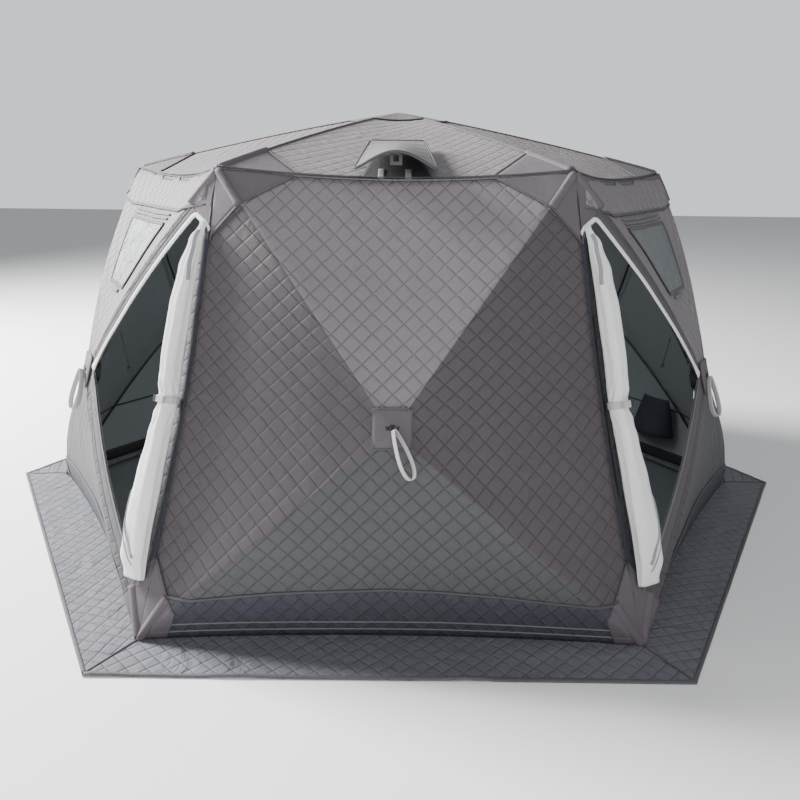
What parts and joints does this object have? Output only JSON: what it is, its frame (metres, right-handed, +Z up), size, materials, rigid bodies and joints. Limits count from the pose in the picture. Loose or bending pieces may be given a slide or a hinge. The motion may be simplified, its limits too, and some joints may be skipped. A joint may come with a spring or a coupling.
{
  "type": "ice fishing shelter",
  "caption": "Six-sided pop-up ice fishing shelter: quilted walls and roof on arched rods with pop-out hubs, two rolled side doors, roof vent hood and snow skirt.",
  "frame": {"origin": "on the ground at the centre of the shelter", "axes": "+Z up; the plain front wall with the pull loop faces -Y; +X is to the right as seen from in front of it"},
  "size_m": [4.092, 3.5438, 1.895],
  "materials": {
    "quilted_skin": "quilted Oxford cloth, satin",
    "roof_cloth": "quilted Oxford cloth, satin",
    "skirt_cloth": "quilted Oxford cloth",
    "floor_sheet": "smooth coated sheet",
    "hub_plastic": "moulded",
    "rod_fibre": "pultruded glass fibre",
    "window_panel": "clear film over a slate blind",
    "door_lining": "white lining",
    "webbing": "woven tape",
    "buckle_plastic": "moulded",
    "zip_metal": "die cast",
    "vent_trim": "matt"
  },
  "bodies": {
    "root": {"wall_front": "quilted_skin", "wall_front_right": "quilted_skin", "wall_rear_right": "quilted_skin", "wall_rear": "quilted_skin", "wall_rear_left": "quilted_skin", "wall_front_left": "quilted_skin", "roof_skin": "roof_cloth", "snow_skirt": "skirt_cloth", "floor_mat": "floor_sheet", "window_left": "window_panel", "window_right": "window_panel", "low_vent_hood": "vent_trim"},
    "hub_front": {"hub_front": "hub_plastic"},
    "rod_front_base_left": {"rod_front_base_left": "rod_fibre"},
    "rod_front_base_right": {"rod_front_base_right": "rod_fibre"},
    "rod_front_eave_right": {"rod_front_eave_right": "rod_fibre"},
    "rod_front_eave_left": {"rod_front_eave_left": "rod_fibre"},
    "hub_front_right": {"hub_front_right": "hub_plastic"},
    "rod_front_right_base_left": {"rod_front_right_base_left": "rod_fibre"},
    "rod_front_right_base_right": {"rod_front_right_base_right": "rod_fibre"},
    "rod_front_right_eave_right": {"rod_front_right_eave_right": "rod_fibre"},
    "rod_front_right_eave_left": {"rod_front_right_eave_left": "rod_fibre"},
    "hub_rear_right": {"hub_rear_right": "hub_plastic"},
    "rod_rear_right_base_left": {"rod_rear_right_base_left": "rod_fibre"},
    "rod_rear_right_base_right": {"rod_rear_right_base_right": "rod_fibre"},
    "rod_rear_right_eave_right": {"rod_rear_right_eave_right": "rod_fibre"},
    "rod_rear_right_eave_left": {"rod_rear_right_eave_left": "rod_fibre"},
    "hub_rear": {"hub_rear": "hub_plastic"},
    "rod_rear_base_left": {"rod_rear_base_left": "rod_fibre"},
    "rod_rear_base_right": {"rod_rear_base_right": "rod_fibre"},
    "rod_rear_eave_right": {"rod_rear_eave_right": "rod_fibre"},
    "rod_rear_eave_left": {"rod_rear_eave_left": "rod_fibre"},
    "hub_rear_left": {"hub_rear_left": "hub_plastic"},
    "rod_rear_left_base_left": {"rod_rear_left_base_left": "rod_fibre"},
    "rod_rear_left_base_right": {"rod_rear_left_base_right": "rod_fibre"},
    "rod_rear_left_eave_right": {"rod_rear_left_eave_right": "rod_fibre"},
    "rod_rear_left_eave_left": {"rod_rear_left_eave_left": "rod_fibre"},
    "hub_front_left": {"hub_front_left": "hub_plastic"},
    "rod_front_left_base_left": {"rod_front_left_base_left": "rod_fibre"},
    "rod_front_left_base_right": {"rod_front_left_base_right": "rod_fibre"},
    "rod_front_left_eave_right": {"rod_front_left_eave_right": "rod_fibre"},
    "rod_front_left_eave_left": {"rod_front_left_eave_left": "rod_fibre"},
    "hub_roof": {"hub_roof": "hub_plastic"},
    "roof_rod_front_right": {"roof_rod_front_right": "rod_fibre"},
    "roof_rod_right": {"roof_rod_right": "rod_fibre"},
    "roof_rod_rear_right": {"roof_rod_rear_right": "rod_fibre"},
    "roof_rod_rear_left": {"roof_rod_rear_left": "rod_fibre"},
    "roof_rod_left": {"roof_rod_left": "rod_fibre"},
    "roof_rod_front_left": {"roof_rod_front_left": "rod_fibre"},
    "door_left": {"door_roll_left": "door_lining", "tie_strap_left": "webbing"},
    "buckle_clip_left": {"buckle_clip_left": "buckle_plastic"},
    "zip_slider_left": {"zip_slider_left": "zip_metal"},
    "door_right": {"door_roll_right": "door_lining", "tie_strap_right": "webbing"},
    "buckle_clip_right": {"buckle_clip_right": "buckle_plastic"},
    "zip_slider_right": {"zip_slider_right": "zip_metal"},
    "vent_hood": {"vent_hood": "roof_cloth"},
    "vent_prop": {"vent_prop": "vent_trim"},
    "pull_loop_front": {"pull_loop_front": "webbing"}
  },
  "joints": [
    {"name": "pop_front", "type": "slide", "parent": "root", "child": "hub_front", "axis": [0, -0.9609, 0.2769], "range_m": [-0.3356, 0], "deforming": ["wall_front"]},
    {"name": "bend_front_base_left", "type": "hinge", "parent": "root", "child": "rod_front_base_left", "pos_m": [-0.888, -1.53806, 0.0146], "axis": [-0.6438, 0.2119, 0.7352], "range_deg": [-0.5, 16.95]},
    {"name": "bend_front_base_right", "type": "hinge", "parent": "root", "child": "rod_front_base_right", "pos_m": [0.888, -1.53806, 0.0146], "axis": [-0.6438, -0.2119, -0.7352], "range_deg": [-0.5, 16.95]},
    {"name": "bend_front_eave_right", "type": "hinge", "parent": "root", "child": "rod_front_eave_right", "pos_m": [0.623, -1.07907, 1.6074], "axis": [0.8253, -0.1564, -0.5426], "range_deg": [-0.5, 17.8]},
    {"name": "bend_front_eave_left", "type": "hinge", "parent": "root", "child": "rod_front_eave_left", "pos_m": [-0.623, -1.07907, 1.6074], "axis": [0.8253, 0.1564, 0.5426], "range_deg": [-0.5, 17.8]},
    {"name": "pop_front_right", "type": "slide", "parent": "root", "child": "hub_front_right", "axis": [0.8322, -0.4804, 0.2769], "range_m": [-0.3356, 0], "deforming": ["wall_front_right", "window_right"]},
    {"name": "bend_front_right_base_left", "type": "hinge", "parent": "root", "child": "rod_front_right_base_left", "pos_m": [0.888, -1.53806, 0.0146], "axis": [-0.5054, -0.4516, 0.7352], "range_deg": [-0.5, 16.95]},
    {"name": "bend_front_right_base_right", "type": "hinge", "parent": "root", "child": "rod_front_right_base_right", "pos_m": [1.776, 0, 0.0146], "axis": [-0.1384, -0.6635, -0.7352], "range_deg": [-0.5, 16.95]},
    {"name": "bend_front_right_eave_right", "type": "hinge", "parent": "root", "child": "rod_front_right_eave_right", "pos_m": [1.246, 0, 1.6074], "axis": [0.5481, 0.6365, -0.5426], "range_deg": [-0.5, 17.8]},
    {"name": "bend_front_right_eave_left", "type": "hinge", "parent": "root", "child": "rod_front_right_eave_left", "pos_m": [0.623, -1.07907, 1.6074], "axis": [0.2772, 0.7929, 0.5426], "range_deg": [-0.5, 17.8]},
    {"name": "pop_rear_right", "type": "slide", "parent": "root", "child": "hub_rear_right", "axis": [0.8322, 0.4804, 0.2769], "range_m": [-0.3356, 0], "deforming": ["wall_rear_right", "low_vent_hood"]},
    {"name": "bend_rear_right_base_left", "type": "hinge", "parent": "root", "child": "rod_rear_right_base_left", "pos_m": [1.776, 0, 0.0146], "axis": [0.1384, -0.6635, 0.7352], "range_deg": [-0.5, 16.95]},
    {"name": "bend_rear_right_base_right", "type": "hinge", "parent": "root", "child": "rod_rear_right_base_right", "pos_m": [0.888, 1.53806, 0.0146], "axis": [0.5054, -0.4516, -0.7352], "range_deg": [-0.5, 16.95]},
    {"name": "bend_rear_right_eave_right", "type": "hinge", "parent": "root", "child": "rod_rear_right_eave_right", "pos_m": [0.623, 1.07907, 1.6074], "axis": [-0.2772, 0.7929, -0.5426], "range_deg": [-0.5, 17.8]},
    {"name": "bend_rear_right_eave_left", "type": "hinge", "parent": "root", "child": "rod_rear_right_eave_left", "pos_m": [1.246, 0, 1.6074], "axis": [-0.5481, 0.6365, 0.5426], "range_deg": [-0.5, 17.8]},
    {"name": "pop_rear", "type": "slide", "parent": "root", "child": "hub_rear", "axis": [0, 0.9609, 0.2769], "range_m": [-0.3356, 0], "deforming": ["wall_rear"]},
    {"name": "bend_rear_base_left", "type": "hinge", "parent": "root", "child": "rod_rear_base_left", "pos_m": [0.888, 1.53806, 0.0146], "axis": [0.6438, -0.2119, 0.7352], "range_deg": [-0.5, 16.95]},
    {"name": "bend_rear_base_right", "type": "hinge", "parent": "root", "child": "rod_rear_base_right", "pos_m": [-0.888, 1.53806, 0.0146], "axis": [0.6438, 0.2119, -0.7352], "range_deg": [-0.5, 16.95]},
    {"name": "bend_rear_eave_right", "type": "hinge", "parent": "root", "child": "rod_rear_eave_right", "pos_m": [-0.623, 1.07907, 1.6074], "axis": [-0.8253, 0.1564, -0.5426], "range_deg": [-0.5, 17.8]},
    {"name": "bend_rear_eave_left", "type": "hinge", "parent": "root", "child": "rod_rear_eave_left", "pos_m": [0.623, 1.07907, 1.6074], "axis": [-0.8253, -0.1564, 0.5426], "range_deg": [-0.5, 17.8]},
    {"name": "pop_rear_left", "type": "slide", "parent": "root", "child": "hub_rear_left", "axis": [-0.8322, 0.4804, 0.2769], "range_m": [-0.3356, 0], "deforming": ["wall_rear_left"]},
    {"name": "bend_rear_left_base_left", "type": "hinge", "parent": "root", "child": "rod_rear_left_base_left", "pos_m": [-0.888, 1.53806, 0.0146], "axis": [0.5054, 0.4516, 0.7352], "range_deg": [-0.5, 16.95]},
    {"name": "bend_rear_left_base_right", "type": "hinge", "parent": "root", "child": "rod_rear_left_base_right", "pos_m": [-1.776, 0, 0.0146], "axis": [0.1384, 0.6635, -0.7352], "range_deg": [-0.5, 16.95]},
    {"name": "bend_rear_left_eave_right", "type": "hinge", "parent": "root", "child": "rod_rear_left_eave_right", "pos_m": [-1.246, 0, 1.6074], "axis": [-0.5481, -0.6365, -0.5426], "range_deg": [-0.5, 17.8]},
    {"name": "bend_rear_left_eave_left", "type": "hinge", "parent": "root", "child": "rod_rear_left_eave_left", "pos_m": [-0.623, 1.07907, 1.6074], "axis": [-0.2772, -0.7929, 0.5426], "range_deg": [-0.5, 17.8]},
    {"name": "pop_front_left", "type": "slide", "parent": "root", "child": "hub_front_left", "axis": [-0.8322, -0.4804, 0.2769], "range_m": [-0.3356, 0], "deforming": ["wall_front_left", "window_left"]},
    {"name": "bend_front_left_base_left", "type": "hinge", "parent": "root", "child": "rod_front_left_base_left", "pos_m": [-1.776, 0, 0.0146], "axis": [-0.1384, 0.6635, 0.7352], "range_deg": [-0.5, 16.95]},
    {"name": "bend_front_left_base_right", "type": "hinge", "parent": "root", "child": "rod_front_left_base_right", "pos_m": [-0.888, -1.53806, 0.0146], "axis": [-0.5054, 0.4516, -0.7352], "range_deg": [-0.5, 16.95]},
    {"name": "bend_front_left_eave_right", "type": "hinge", "parent": "root", "child": "rod_front_left_eave_right", "pos_m": [-0.623, -1.07907, 1.6074], "axis": [0.2772, -0.7929, -0.5426], "range_deg": [-0.5, 17.8]},
    {"name": "bend_front_left_eave_left", "type": "hinge", "parent": "root", "child": "rod_front_left_eave_left", "pos_m": [-1.246, 0, 1.6074], "axis": [0.5481, -0.6365, 0.5426], "range_deg": [-0.5, 17.8]},
    {"name": "pop_roof", "type": "slide", "parent": "root", "child": "hub_roof", "axis": [0, 0, 1], "range_m": [-0.486, 0], "deforming": ["roof_skin"]},
    {"name": "bend_roof_rod_front_right", "type": "hinge", "parent": "root", "child": "roof_rod_front_right", "pos_m": [0.623, -1.07907, 1.606], "axis": [-0.866, -0.5, 0], "range_deg": [-0.5, 22.57]},
    {"name": "bend_roof_rod_right", "type": "hinge", "parent": "root", "child": "roof_rod_right", "pos_m": [1.246, 0, 1.606], "axis": [0, -1, 0], "range_deg": [-0.5, 22.57]},
    {"name": "bend_roof_rod_rear_right", "type": "hinge", "parent": "root", "child": "roof_rod_rear_right", "pos_m": [0.623, 1.07907, 1.606], "axis": [0.866, -0.5, 0], "range_deg": [-0.5, 22.57]},
    {"name": "bend_roof_rod_rear_left", "type": "hinge", "parent": "root", "child": "roof_rod_rear_left", "pos_m": [-0.623, 1.07907, 1.606], "axis": [0.866, 0.5, 0], "range_deg": [-0.5, 22.57]},
    {"name": "bend_roof_rod_left", "type": "hinge", "parent": "root", "child": "roof_rod_left", "pos_m": [-1.246, 0, 1.606], "axis": [0, 1, 0], "range_deg": [-0.5, 22.57]},
    {"name": "bend_roof_rod_front_left", "type": "hinge", "parent": "root", "child": "roof_rod_front_left", "pos_m": [-0.623, -1.07907, 1.606], "axis": [-0.866, 0.5, 0], "range_deg": [-0.5, 22.57]},
    {"name": "swing_door_left", "type": "hinge", "parent": "root", "child": "door_left", "pos_m": [-0.7485, -1.29644, 0.815], "axis": [0.1557, 0.2698, 0.9502], "range_deg": [0, 50]},
    {"name": "release_buckle_left", "type": "slide", "parent": "door_left", "child": "buckle_clip_left", "axis": [-0.853, 0.5219, -0.0084], "range_m": [0, 0.03]},
    {"name": "run_zip_left", "type": "slide", "parent": "root", "child": "zip_slider_left", "axis": [-0.3541, 0.6667, 0.6558], "range_m": [0, 0.9153]},
    {"name": "swing_door_right", "type": "hinge", "parent": "root", "child": "door_right", "pos_m": [0.7485, -1.29644, 0.815], "axis": [0.1557, -0.2698, -0.9502], "range_deg": [0, 50]},
    {"name": "release_buckle_right", "type": "slide", "parent": "door_right", "child": "buckle_clip_right", "axis": [0.853, 0.5219, -0.0084], "range_m": [0, 0.03]},
    {"name": "run_zip_right", "type": "slide", "parent": "root", "child": "zip_slider_right", "axis": [0.3541, 0.6667, 0.6558], "range_m": [0, 0.9153]},
    {"name": "lower_vent_hood", "type": "hinge", "parent": "root", "child": "vent_hood", "pos_m": [0, -0.725, 1.7408], "axis": [1, 0, 0], "range_deg": [0, 10], "deforming": ["vent_hood"]},
    {"name": "fold_vent_prop", "type": "hinge", "parent": "root", "child": "vent_prop", "pos_m": [0, -1.078, 1.64443], "axis": [-1, 0, 0], "range_deg": [0, 75]},
    {"name": "lift_pull_loop", "type": "hinge", "parent": "hub_front", "child": "pull_loop_front", "pos_m": [0, -1.537, 0.797], "axis": [-1, 0, 0], "range_deg": [0, 80]}
  ],
  "couplings": [
    {"joint": "bend_front_base_left", "follows": "pop_front", "rad_per_m": -0.85575},
    {"joint": "bend_front_base_right", "follows": "pop_front", "rad_per_m": -0.85575},
    {"joint": "bend_front_eave_right", "follows": "pop_front", "rad_per_m": -0.89957},
    {"joint": "bend_front_eave_left", "follows": "pop_front", "rad_per_m": -0.89957},
    {"joint": "bend_front_right_base_left", "follows": "pop_front_right", "rad_per_m": -0.85575},
    {"joint": "bend_front_right_base_right", "follows": "pop_front_right", "rad_per_m": -0.85575},
    {"joint": "bend_front_right_eave_right", "follows": "pop_front_right", "rad_per_m": -0.89957},
    {"joint": "bend_front_right_eave_left", "follows": "pop_front_right", "rad_per_m": -0.89957},
    {"joint": "bend_rear_right_base_left", "follows": "pop_rear_right", "rad_per_m": -0.85575},
    {"joint": "bend_rear_right_base_right", "follows": "pop_rear_right", "rad_per_m": -0.85575},
    {"joint": "bend_rear_right_eave_right", "follows": "pop_rear_right", "rad_per_m": -0.89957},
    {"joint": "bend_rear_right_eave_left", "follows": "pop_rear_right", "rad_per_m": -0.89957},
    {"joint": "bend_rear_base_left", "follows": "pop_rear", "rad_per_m": -0.85575},
    {"joint": "bend_rear_base_right", "follows": "pop_rear", "rad_per_m": -0.85575},
    {"joint": "bend_rear_eave_right", "follows": "pop_rear", "rad_per_m": -0.89957},
    {"joint": "bend_rear_eave_left", "follows": "pop_rear", "rad_per_m": -0.89957},
    {"joint": "bend_rear_left_base_left", "follows": "pop_rear_left", "rad_per_m": -0.85575},
    {"joint": "bend_rear_left_base_right", "follows": "pop_rear_left", "rad_per_m": -0.85575},
    {"joint": "bend_rear_left_eave_right", "follows": "pop_rear_left", "rad_per_m": -0.89957},
    {"joint": "bend_rear_left_eave_left", "follows": "pop_rear_left", "rad_per_m": -0.89957},
    {"joint": "bend_front_left_base_left", "follows": "pop_front_left", "rad_per_m": -0.85575},
    {"joint": "bend_front_left_base_right", "follows": "pop_front_left", "rad_per_m": -0.85575},
    {"joint": "bend_front_left_eave_right", "follows": "pop_front_left", "rad_per_m": -0.89957},
    {"joint": "bend_front_left_eave_left", "follows": "pop_front_left", "rad_per_m": -0.89957},
    {"joint": "bend_roof_rod_front_right", "follows": "pop_roof", "rad_per_m": -0.79262},
    {"joint": "bend_roof_rod_right", "follows": "pop_roof", "rad_per_m": -0.79262},
    {"joint": "bend_roof_rod_rear_right", "follows": "pop_roof", "rad_per_m": -0.79262},
    {"joint": "bend_roof_rod_rear_left", "follows": "pop_roof", "rad_per_m": -0.79262},
    {"joint": "bend_roof_rod_left", "follows": "pop_roof", "rad_per_m": -0.79262},
    {"joint": "bend_roof_rod_front_left", "follows": "pop_roof", "rad_per_m": -0.79262},
    {"joint": "fold_vent_prop", "follows": "lower_vent_hood", "ratio": 7.5}
  ]
}
